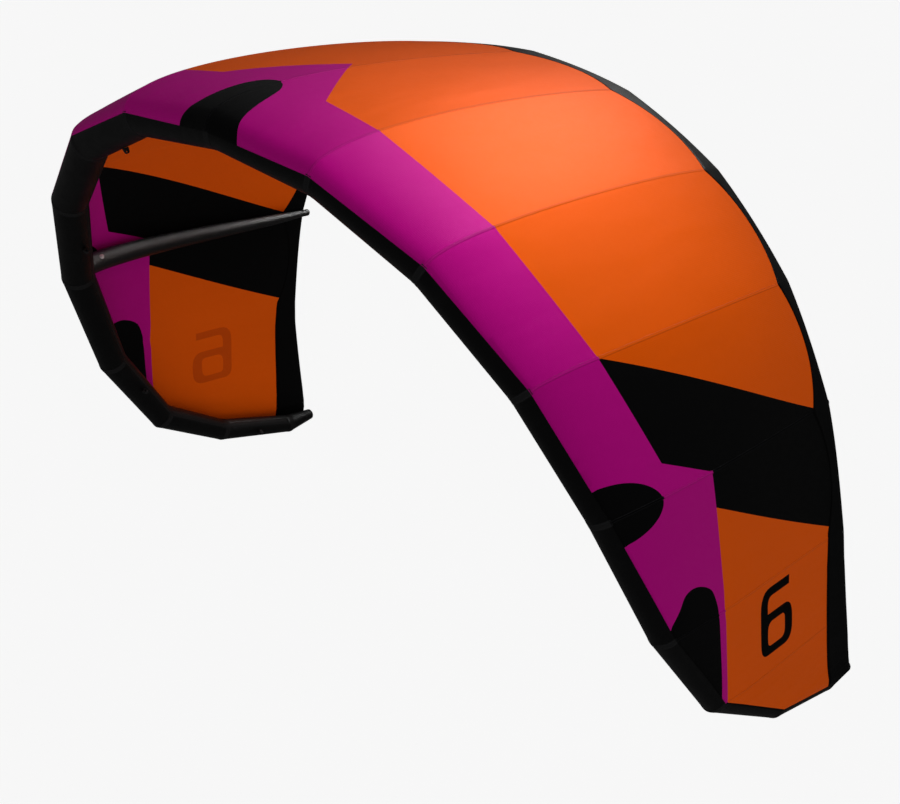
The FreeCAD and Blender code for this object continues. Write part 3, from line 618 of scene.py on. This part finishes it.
def moulded(name, colour, roughness, coat=0.0):
    """Moulded plastic with a faint grain and handling marks."""
    nodes = Nodes(name, Specular_IOR_Level=0.5, Coat_Weight=coat, Coat_Roughness=0.15)
    place = nodes.plan(False)
    grain = nodes.noise(place, 420.0, 2.0)
    marks = nodes.noise(place, 60.0, 4.0)
    nodes.link(nodes.blend(nodes.spread(marks, 0.0, 0.35), colour, shade(colour, 0.78)), "Base Color")
    nodes.link(nodes.spread(marks, roughness - 0.07, roughness + 0.1), "Roughness")
    nodes.bump((grain, 0.00006))
    return nodes.material


def film(name):
    """Pale, creased bladder film, all but hidden inside the tubes."""
    nodes = Nodes(name, Specular_IOR_Level=0.5)
    crease = nodes.noise(nodes.plan(False), 30.0, 4.0)
    nodes.link(nodes.blend(crease, (0.5, 0.53, 0.55, 1), (0.68, 0.7, 0.7, 1)), "Base Color")
    nodes.link(nodes.spread(crease, 0.18, 0.34), "Roughness")
    nodes.bump((crease, 0.002))
    return nodes.material


ORANGE = (0.86, 0.108, 0.001, 1)
MAGENTA_COLOUR = (0.52, 0.003, 0.24, 1)
BLACK_COLOUR = (0.0016, 0.0016, 0.0018, 1)
TUBE_COLOUR = (0.002, 0.002, 0.0022, 1)
THREAD = (0.02, 0.02, 0.022, 1)
SHADOWED_ORANGE = (0.64, 0.074, 0.0015, 1)      # the back of the cloth under the printed number, with the number's shadow through the cloth painted in
ORANGE_GLINT, MAGENTA_GLINT, SATIN = (1, 0.4, 0.08, 1), (1, 0.12, 0.7, 1), 0.12

MATERIALS = {
    "orange": ripstop("cloth_orange", ORANGE, tint=ORANGE_GLINT, satin=SATIN),
    "magenta": ripstop("cloth_magenta", MAGENTA_COLOUR, tint=MAGENTA_GLINT, satin=SATIN),
    "black": ripstop("cloth_black", BLACK_COLOUR, roughness=0.5),
    "numeral": ripstop("cloth_numeral", BLACK_COLOUR, roughness=0.6, specular=0.08),
    "print_shadow": ripstop("cloth_print_shadow", SHADOWED_ORANGE, tint=ORANGE_GLINT, satin=SATIN),
    "tube": dacron("tube_sailcloth", TUBE_COLOUR),
    "strut": dacron("strut_sailcloth", TUBE_COLOUR, pitch=0.0009, roughness=0.38, specular=0.5),
    "webbing": webbing("black_webbing", (0.009, 0.009, 0.01, 1)),
    "white": moulded("valve_white_plastic", (0.78, 0.79, 0.8, 1), 0.3, coat=0.3),
    "grey": moulded("valve_grey_plastic", (0.09, 0.095, 0.1, 1), 0.38),
    "lid": moulded("valve_lid_plastic", (0.5, 0.075, 0.01, 1), 0.36),
    "cap": moulded("strut_end_rubber", (0.03, 0.03, 0.033, 1), 0.5),
    "film": film("bladder_film"),
}


# ---- mesh helpers ----------------------------------------------------------------------------------

def make_piece(name, points, faces, materials, indices=None, plan=None):
    """Mesh object in the scene that rides on the kite, with smooth shading."""
    mesh = bpy.data.meshes.new(name)
    mesh.from_pydata([tuple(p) for p in points], [], faces)
    for material in materials:
        mesh.materials.append(material)
    if indices is not None:
        mesh.polygons.foreach_set("material_index", indices)
    if plan is not None:
        attribute = mesh.attributes.new("plan", "FLOAT_VECTOR", "POINT")
        attribute.data.foreach_set("vector", np.asarray(plan, np.float32).ravel())
    mesh.polygons.foreach_set("use_smooth", [True] * len(mesh.polygons))
    mesh.update()
    piece = bpy.data.objects.new(name, mesh)
    bpy.context.scene.collection.objects.link(piece)
    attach(piece, "root")
    return piece


def thicken(piece, thickness, material_offset=0):
    """Gives a sheet its thickness, inwards."""
    modifier = piece.modifiers.new("thickness", "SOLIDIFY")
    modifier.thickness = thickness
    modifier.offset = -1
    modifier.material_offset = material_offset
    return piece


def loft(sections, closed_section=True, capped=True):
    """Points and faces of a skin through sections that have the same number of points."""
    count = len(sections[0])
    points = [p for section in sections for p in section]
    faces = []
    last = count if closed_section else count - 1
    for s in range(len(sections) - 1):
        for k in range(last):
            a, b = s * count + k, s * count + (k + 1) % count
            faces.append((a, b, b + count, a + count))
    if closed_section and capped:
        faces.append(tuple(reversed(range(count))))
        faces.append(tuple(range((len(sections) - 1) * count, len(sections) * count)))
    return points, faces


# ---- canopy ----------------------------------------------------------------------------------------

CUT_BACK = 0.003                # from the band's fold to the canopy's own edge
LEAST_GAP = 0.0015              # between points on one line of the mesh
LINE_CLEARANCE = 0.55 * CELL    # from a line to the nearest free point
BAND_STEP, BAND_THICK = 0.0125, 0.0005
BAND_LAYERS = [(1.0, 0.0009), (0.85, 0.001), (0.6, 0.001), (0.3, 0.001), (0.06, 0.001)]
FOLD_REACH = 0.0016             # of the band behind the trailing edge
INNER_EASE = 0.0004             # by which the band's inner leaf lies closer than its outer one


def stations_along(places):
    """The places along x, and every seam, in order."""
    return np.unique(np.round(np.concatenate([places, KNOTS]), 6))


def unit_rows(vectors):
    return vectors / np.linalg.norm(vectors, axis=1)[:, None]


def divided(outline, step, closed=True):
    """Points along an outline no further apart than step."""
    points = []
    pairs = list(zip(outline, outline[1:] + outline[:1])) if closed else list(zip(outline, outline[1:]))
    for (x1, y1), (x2, y2) in pairs:
        count = max(1, math.ceil(math.hypot(x2 - x1, y2 - y1) / step))
        points += [(x1 + (x2 - x1) * k / count, y1 + (y2 - y1) * k / count) for k in range(count)]
    return points if closed else points + [outline[-1]]


def cut_at(x):
    """Rear edge of the canopy's cloth, a little inside the fold of the band."""
    return chord_at(x) - CUT_BACK


def clamp_to_cloth(points):
    """Pulls plan points that lie off the cloth back to its edge."""
    x = np.clip([p[0] for p in points], -CLOTH_END, CLOTH_END)
    y = np.clip([p[1] for p in points], -wrap_at(x), cut_at(x))
    return list(zip(x, y))


def canopy_lines():
    """The cloth's edge, its seams and the outlines of its colours, as lists of plan points."""
    count = math.ceil(2 * CLOTH_END / CELL)
    stations = stations_along(np.linspace(-CLOTH_END, CLOTH_END, count))
    front = list(zip(stations, -wrap_at(stations)))
    rear = list(zip(stations, cut_at(stations)))
    lines = [front, rear]
    for x in KNOTS:
        lines.append(divided([(x, -wrap_at(x)), (x, cut_at(x))], CELL, closed=False))
    for _, outlines in REGIONS:
        for outline in outlines:
            points = clamp_to_cloth(divided(outline, CELL * 0.8))
            lines.append(points + points[:1])
    return lines


def canopy_mesh():
    """Triangles of the flat cloth that follow every line, with a colour for each."""
    places, edges = [], []
    for line in canopy_lines():
        start = len(places)
        kept = [line[0]]
        for point in line[1:]:
            if math.dist(point, kept[-1]) > LEAST_GAP:
                kept.append(point)
        places += kept
        edges += [(start + k, start + k + 1) for k in range(len(kept) - 1)]
    tree = kdtree.KDTree(len(places))
    for k, place in enumerate(places):
        tree.insert((*place, 0), k)
    tree.balance()
    rise = CELL * math.sqrt(3) / 2
    for row in range(math.ceil((BEHIND - AHEAD) / rise)):
        y = AHEAD + row * rise
        xs = np.arange(-CLOTH_END, CLOTH_END, CELL) + (row % 2) * CELL / 2
        xs = xs[(y > -wrap_at(xs)) & (y < cut_at(xs)) & (np.abs(xs) < CLOTH_END)]
        places += [(x, y) for x in xs if tree.find((x, y, 0))[2] > LINE_CLEARANCE]
    result = geometry.delaunay_2d_cdt([Vector(p) for p in places], edges, [], 0, 1e-5)
    plan = np.array([(p.x, p.y) for p in result[0]])
    faces = np.array(result[2])
    middle = plan[faces].mean(axis=1)
    kept = (middle[:, 1] > -wrap_at(middle[:, 0])) & (middle[:, 1] < cut_at(middle[:, 0]))
    faces, middle = faces[kept], middle[kept]
    corners = plan[faces]
    turn = np.cross(corners[:, 1] - corners[:, 0], corners[:, 2] - corners[:, 0])
    faces[turn < 0] = faces[turn < 0][:, ::-1]
    solid = np.abs(turn) > 1e-9
    return plan, faces[solid], colour_at(middle[solid, 0], middle[solid, 1])


def make_canopy():
    plan, faces, colours = canopy_mesh()
    used = np.unique(faces)
    order = np.full(len(plan), -1)
    order[used] = np.arange(len(used))
    plan, faces = plan[used], order[faces]
    points = cloth(plan[:, 0], plan[:, 1])
    flat = np.column_stack([plan, np.zeros(len(plan))])
    outer = [MATERIALS[name] for name in CLOTH_COLOURS]
    # On the inside, the cloth under the number has the print's shadow painted in as a darker orange.
    inner = outer[:3] + [MATERIALS["print_shadow"]]
    piece = make_piece("canopy", points, faces.tolist(), outer + inner, colours, flat)
    return thicken(piece, CLOTH_THICK, len(outer))


def make_band():
    """Black band folded over the trailing edge, sewn on from both sides."""
    stations = stations_along(np.arange(-CLOTH_END, CLOTH_END, BAND_STEP))
    width, chord = band_width(stations), chord_at(stations)
    rows, across = [], []
    for share, lift in BAND_LAYERS:
        y = chord - width * share
        rows.append(cloth(stations, y) + cloth_normal(stations, y) * lift)
        across.append(width * share)
    edge = cloth(stations, chord)
    rearward = unit_rows(edge - cloth(stations, chord - 0.004))
    rows.append(edge + rearward * FOLD_REACH - cloth_normal(stations, chord) * (CLOTH_THICK / 2))
    across.append(np.zeros(len(stations)))
    for share, lift in reversed(BAND_LAYERS):
        y = chord - width * share
        rows.append(cloth(stations, y) - cloth_normal(stations, y) * (lift + CLOTH_THICK - INNER_EASE))
        across.append(-width * share)
    sections = np.stack(rows, axis=1)
    points, faces = loft([list(section) for section in sections], closed_section=False)
    faces = [tuple(reversed(face)) for face in faces]
    flat = [(x, value, 0) for x, values in zip(stations, np.stack(across, axis=1)) for value in values]
    piece = make_piece("trailing_edge_band", points, faces, [MATERIALS["black"]], None, flat)
    return thicken(piece, BAND_THICK)


canopy = make_canopy()
band = make_band()

SIDES = ("right", "left")
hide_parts(*[f"canopy_panel_{side}_{k}" for side in SIDES for k in range(1, SEAM_JOINTS + 1)],
            *[f"canopy_tip_{side}" for side in SIDES])
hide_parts(*[f"trailing_edge_band_{side}" for side in SIDES])


# ---- sewn tapes ------------------------------------------------------------------------------------

SEAM_HALF_WIDTH, SEAM_HEIGHT, SEAM_SINK = 0.0045, 0.0004, 0.0004
SEAM_START, SEAM_LAP, SEAM_STEP = 0.004, 0.006, 0.004
SHOULDER = 0.86                 # share of a tape's half width that is flat
TAPE_HALF_WIDTH, TAPE_HEIGHT = 0.011, 0.0007
TAPE_TUCK, TAPE_END_GAP = 4, 6  # degrees round the tube
CLOSING_ANGLE, CLOSING_HALF_WIDTH, CLOSING_HEIGHT, CLOSING_END_GAP = -142, 0.012, 0.0008, 0.02


def plan_row(along, across):
    """Plan places of one long edge of a tape."""
    return np.column_stack([along, np.full(len(along), across), np.zeros(len(along))])


def seam_sections(line):
    """Cross-sections of the thin tape that follows a line of plan points on the cloth."""
    line = np.array(line, float)
    run = unit_rows(np.gradient(line, axis=0))
    side = np.column_stack([-run[:, 1], run[:, 0]])
    height = SEAM_HEIGHT
    profile = [(-1, -SEAM_SINK), (-1, height * 0.4), (-SHOULDER, height), (0, height), (SHOULDER, height),
               (1, height * 0.4), (1, -SEAM_SINK)]
    arc = np.concatenate([[0], np.cumsum(np.linalg.norm(np.diff(line, axis=0), axis=1))])
    rows, flat = [], []
    for share, lift in profile:
        x, y = (line + side * (SEAM_HALF_WIDTH * share)).T
        rows.append(cloth(x, y) + cloth_normal(x, y) * lift)
        flat.append(plan_row(arc, SEAM_HALF_WIDTH * share))
    return np.stack(rows, axis=1), np.stack(flat, axis=1)


def combine(parts):
    """One set of points, faces and plan places from several."""
    points, faces, flats, indices = [], [], [], []
    for part_points, part_faces, part_flat, part_index in parts:
        start = len(points)
        points += list(part_points)
        faces += [tuple(start + k for k in face) for face in part_faces]
        flats += list(part_flat)
        indices += list(part_index)
    return points, faces, flats, indices


def tape_part(sections, flat, index=0):
    points, faces = loft([list(section) for section in sections])
    faces = [tuple(reversed(face)) for face in faces]
    return points, faces, [p for section in flat for p in section], [index] * len(faces)


def seam_cloth(name, colour, thread):
    return stitched(f"seam_{name}", shade(colour, 0.84), thread, SEAM_HALF_WIDTH, row=0.0015, specular=0.05)


SEAM_MATERIALS = [seam_cloth("orange", ORANGE, shade(ORANGE, 0.5)),
                  seam_cloth("magenta", MAGENTA_COLOUR, shade(MAGENTA_COLOUR, 0.5)),
                  seam_cloth("black", BLACK_COLOUR, THREAD)]


def coloured_runs(line):
    """Cuts a line of plan points where the cloth's colour changes; the number counts as black."""
    line = np.array(line)
    colours = colour_at(line[:, 0], line[:, 1])
    start = 0
    for k in range(1, len(line) + 1):
        if k == len(line) or colours[k] != colours[start]:
            if k - start >= 2:
                yield line[start:min(k + 1, len(line))], min(int(colours[start]), 2)
            start = k


def make_canopy_seams():
    """Lapped seams between the panels, on the outside of the canopy."""
    parts = []
    for x in KNOTS:
        if abs(x) > DISTANCE[SEAM_JOINTS] + 0.001:
            continue
        first = -wrap_at(x) + SEAM_START
        last = chord_at(x) - band_width(np.array([x]))[0] + SEAM_LAP
        line = [(x, y) for y in np.linspace(first, last, max(8, int((last - first) / SEAM_STEP)))]
        for run, index in coloured_runs(line):
            parts.append(tape_part(*seam_sections(run), index))
    points, faces, flats, indices = combine(parts)
    return make_piece("canopy_seams", points, faces, SEAM_MATERIALS, indices, flats)


seams = make_canopy_seams()

TAPE_MATERIAL = stitched("tube_tape", (0.009, 0.009, 0.0095, 1), THREAD, TAPE_HALF_WIDTH)


def tape_profile(height):
    """Across a tape on the tube: share of the half width, and height over the tube's cloth."""
    return [(-1, 0.0002), (-SHOULDER, height), (0, height), (SHOULDER, height), (1, 0.0002),
            (1, -0.0005), (-1, -0.0005)]


def ring_tape(j, side):
    """Tape over the mitre seam of joint j, on the part of the tube that the cloth leaves bare."""
    start = math.radians(CLOTH_EDGE_ANGLE[j] - TAPE_TUCK)
    end = 2 * math.pi - front_angle(j) - math.radians(TAPE_END_GAP)
    angles = np.linspace(start, end, 56)
    rows, flat = [], []
    for share, lift in tape_profile(TAPE_HEIGHT):
        rows.append(tube_point(DISTANCE[j] * side + TAPE_HALF_WIDTH * share, angles, lift))
        flat.append(plan_row(angles * tube_radius(j), TAPE_HALF_WIDTH * share))
    return tape_part(np.stack(rows, axis=1), np.stack(flat, axis=1))


def make_tube_tapes():
    parts = [ring_tape(0, 1)]
    for side in (1, -1):
        parts += [ring_tape(j, side) for j in range(1, TIP_CORNER + 1)]
    points, faces, flats, indices = combine(parts)
    make_piece("leading_edge_seam_tapes", points, faces, [TAPE_MATERIAL], indices, flats)


def make_closing_seam():
    """Long seam that closes the tube's cloth, low on its rear side."""
    xs = np.linspace(-CLOTH_END + CLOSING_END_GAP, CLOTH_END - CLOSING_END_GAP, 520)
    angle, half = math.radians(CLOSING_ANGLE), CLOSING_HALF_WIDTH
    rows, flat = [], []
    for share, lift in tape_profile(CLOSING_HEIGHT):
        rows.append(tube_point(xs, angle + half * share / radius_at(xs), lift))
        flat.append(plan_row(xs, half * share))
    points, faces, flats, indices = tape_part(np.stack(rows, axis=1), np.stack(flat, axis=1))
    make_piece("leading_edge_closing_seam", points, faces, [TAPE_MATERIAL], indices, flats)


make_tube_tapes()
make_closing_seam()


# ---- valve patches ---------------------------------------------------------------------------------

VALVE_ANGLE, VALVE_PLACE = math.radians(-115), 0.55 * RUNS[0]
PATCH_HOLE, PATCH_REACH, PATCH_HEIGHT, PATCH_SINK = 0.0175, 0.042, 0.0008, 0.0003
PATCH_STITCH = 0.003            # from the patch's edge to its single row of stitches
PATCH_MATERIAL = stitched("valve_patch_cloth", (0.01, 0.01, 0.0105, 1), THREAD, PATCH_STITCH,
                          row=PATCH_STITCH)


def make_valve_patch(name, x):
    """Round reinforcement patch on the tube around a valve."""
    height, reach, count = PATCH_HEIGHT, PATCH_REACH, 64
    profile = [(PATCH_HOLE, -PATCH_SINK), (PATCH_HOLE, height), (PATCH_HOLE + 0.008, height),
               (reach - 0.006, height), (reach - 0.0008, height), (reach, 0.0002), (reach, -PATCH_SINK)]
    out, lift = np.array(profile).T
    radius = float(radius_at(x))
    sections, flat = [], []
    for n in range(count + 1):
        turn = 2 * math.pi * n / count
        angle = VALVE_ANGLE + out * math.sin(turn) / radius
        sections.append(list(tube_point(x + out * math.cos(turn), angle, lift)))
        flat += [(turn * reach, across, 0) for across in out - reach + PATCH_STITCH]
    points, faces = loft(sections, capped=False)
    make_piece(name, points, faces, [PATCH_MATERIAL], None, flat)


make_valve_patch("inflation_valve_patch", VALVE_PLACE)
make_valve_patch("deflation_valve_patch", -VALVE_PLACE)


# ---- finishes of the CAD nodes ---------------------------------------------------------------------

def finish_of(node):
    if "bladder" in node:
        return "film"
    if node.startswith("strut_cap"):
        return "cap"
    if node.startswith("strut_sleeve"):
        return "strut"
    if node.startswith(("leading_edge", "tip_cap")):
        return "tube"
    if node.startswith("strut_valve"):
        return "white"
    if node in ("inflation_valve_lid", "deflation_valve_plug"):
        return "lid"
    if "valve" in node:
        return "grey"
    return "webbing"


for node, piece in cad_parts.items():
    if not piece.hide_render:
        piece.data.materials.clear()
        piece.data.materials.append(MATERIALS[finish_of(node)])


# ---- studio ----------------------------------------------------------------------------------------

scene = bpy.context.scene
scene.view_settings.view_transform = "Standard"
scene.view_settings.look = "None"


def make_floor():
    """Plain pale floor well below the kite, which hangs in the air as it flies."""
    mesh = bpy.data.meshes.new("floor")
    size, level = 200, -14
    corners = [(-size, -size, level), (size, -size, level), (size, size, level), (-size, size, level)]
    mesh.from_pydata(corners, [], [(0, 1, 2, 3)])
    floor = bpy.data.objects.new("floor", mesh)
    scene.collection.objects.link(floor)
    floor.visible_diffuse = False
    floor.visible_glossy = False
    nodes = Nodes("floor_paint", Specular_IOR_Level=0.0, Roughness=1.0, Emission_Strength=0.63)
    patchy = nodes.noise(nodes.plan(False), 0.5, 2.0)
    nodes.link(nodes.blend(patchy, (0.89, 0.89, 0.89, 1), (0.9, 0.9, 0.9, 1)), "Base Color")
    nodes.shader.inputs["Emission Color"].default_value = (1, 1, 1, 1)
    mesh.materials.append(nodes.material)


make_floor()

AMBIENT_LEVEL, REFLECTED_LEVEL, SURROUND_LEVEL = 0.416, 0.08, 0.93
AMBIENT_LEAN = (0.16, 0, -0.12)     # how much more light comes from the right and from below


def make_world():
    """Soft light from all round, a little stronger from one side, seen as a pale surround."""
    world = bpy.data.worlds.new("studio")
    scene.world = world
    world.use_nodes = True
    tree = world.node_tree
    tree.nodes.clear()
    direction = tree.nodes.new("ShaderNodeTexCoord")
    side = tree.nodes.new("ShaderNodeVectorMath")
    side.operation = "DOT_PRODUCT"
    tree.links.new(direction.outputs["Generated"], side.inputs[0])
    side.inputs[1].default_value = AMBIENT_LEAN
    ambient = tree.nodes.new("ShaderNodeMath")
    ambient.operation = "ADD"
    tree.links.new(side.outputs["Value"], ambient.inputs[0])
    ambient.inputs[1].default_value = AMBIENT_LEVEL
    level = ambient.outputs["Value"]
    path = tree.nodes.new("ShaderNodeLightPath")
    for ray, strength in (("Is Glossy Ray", REFLECTED_LEVEL), ("Is Camera Ray", SURROUND_LEVEL)):
        choice = tree.nodes.new("ShaderNodeMix")
        tree.links.new(path.outputs[ray], choice.inputs["Factor"])
        tree.links.new(level, choice.inputs["A"])
        choice.inputs["B"].default_value = strength
        level = choice.outputs["Result"]
    background = tree.nodes.new("ShaderNodeBackground")
    background.inputs["Color"].default_value = (1, 1, 1, 1)
    tree.links.new(level, background.inputs["Strength"])
    output = tree.nodes.new("ShaderNodeOutputWorld")
    tree.links.new(background.outputs[0], output.inputs["Surface"])


make_world()


def add_softbox(name, place, power, radius, gloss_only=False, pieces=()):
    """Round soft light, unseen by the camera, for all pieces or only for some."""
    light = bpy.data.lights.new(name, "POINT")
    light.energy = power
    light.shadow_soft_size = radius
    lamp = bpy.data.objects.new(name, light)
    lamp.location = place
    lamp.visible_camera = False
    lamp.visible_diffuse = not gloss_only
    scene.collection.objects.link(lamp)
    if pieces:
        group = bpy.data.collections.new(f"{name}_pieces")
        for piece in pieces:
            group.objects.link(piece)
        lamp.light_linking.receiver_collection = group
        lamp.light_linking.blocker_collection = group


KEY_PLACE, REAR_PLACE = (1.12, 0.7, 0.98), (-0.1, 2.7, 1.6)
STRUTS_AND_TIPS = [
    piece for node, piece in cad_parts.items()
    if node.startswith(("strut_sleeve", "strut_cap", "tip_cap")) or node.endswith(("_8", "_9"))
]
add_softbox("key", KEY_PLACE, 48, 0.25)
add_softbox("rim", REAR_PLACE, 300, 0.5, gloss_only=True)
add_softbox("edge", REAR_PLACE, 420, 0.5, gloss_only=True, pieces=STRUTS_AND_TIPS)

CAMERA_PLACE, CAMERA_TILT, CAMERA_HEADING, LENS, SENSOR = (4.3487, -3.32, 1.6423), 65.165, 45.799, 78, 36


def add_camera():
    data = bpy.data.cameras.new("camera")
    data.lens = LENS
    data.sensor_width = SENSOR
    camera = bpy.data.objects.new("camera", data)
    camera.location = CAMERA_PLACE
    camera.rotation_euler = (math.radians(CAMERA_TILT), 0, math.radians(CAMERA_HEADING))
    scene.collection.objects.link(camera)
    scene.camera = camera


add_camera()
